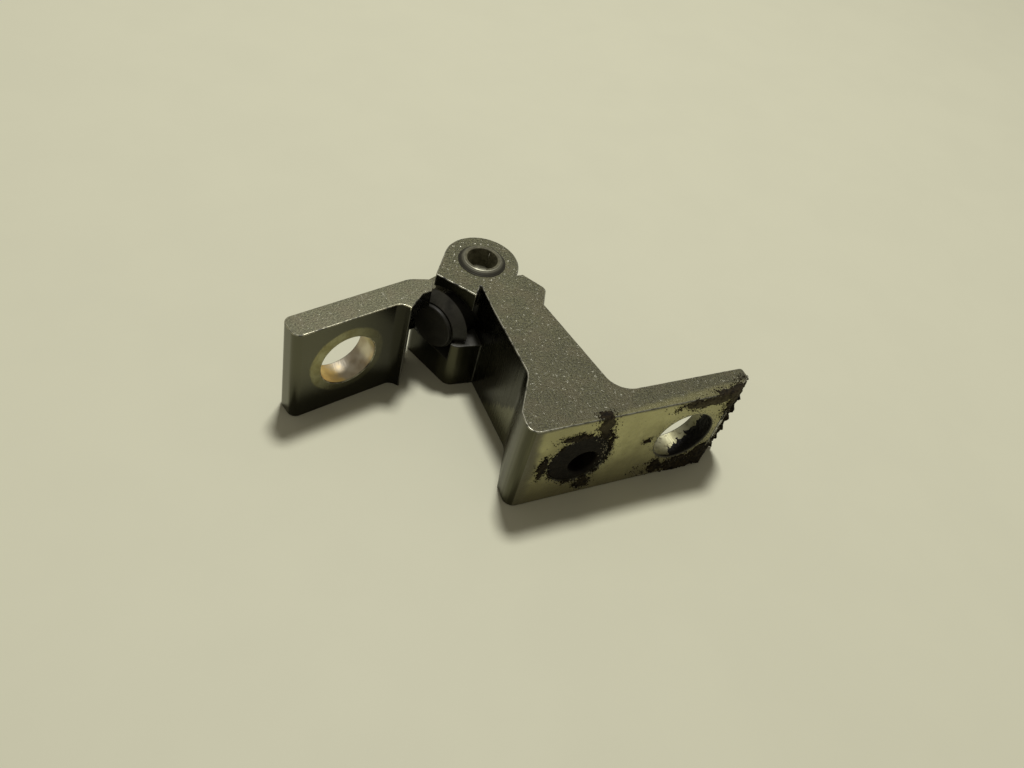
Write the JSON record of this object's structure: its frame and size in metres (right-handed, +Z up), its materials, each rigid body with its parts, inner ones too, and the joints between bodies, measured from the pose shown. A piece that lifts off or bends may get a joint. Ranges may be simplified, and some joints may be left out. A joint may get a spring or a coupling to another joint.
{
  "type": "car door hinge",
  "caption": "Two-part car door hinge: a drawn steel pillar bracket with a foot flange and a door leaf that swings on an upright riveted pin against a built-in stop.",
  "frame": {"origin": "centre of the bracket's clear bolt hole, on the face that lies against the door pillar", "axes": "+Z up along the pin, +Y from the pillar towards the pin, X along the foot flange; the door leaf points to -X at rest"},
  "size_m": [0.1199, 0.0752, 0.0332],
  "materials": {
    "pillar_steel": "grey-olive semi-gloss paint over drawn steel",
    "leaf_steel": "dark grey semi-gloss paint over drawn steel",
    "pin_steel": "dull turned steel",
    "bush_bronze": "plain bearing bronze",
    "buffer_plastic": "dark matt moulding",
    "nut_steel": "dark worn paint over steel"
  },
  "bodies": {
    "pillar": {"pillar_bracket": "pillar_steel", "hinge_pin": "pin_steel", "nut_disc": "nut_steel"},
    "door": {"door_leaf": "leaf_steel", "upper_bush": "bush_bronze", "lower_bush": "bush_bronze", "stop_buffer": "buffer_plastic"}
  },
  "joints": [
    {"name": "door_swing", "type": "hinge", "parent": "pillar", "child": "door", "pos_m": [-0.04, 0.0641, 0], "axis": [0, 0, -1], "range_deg": [0, 75]}
  ]
}
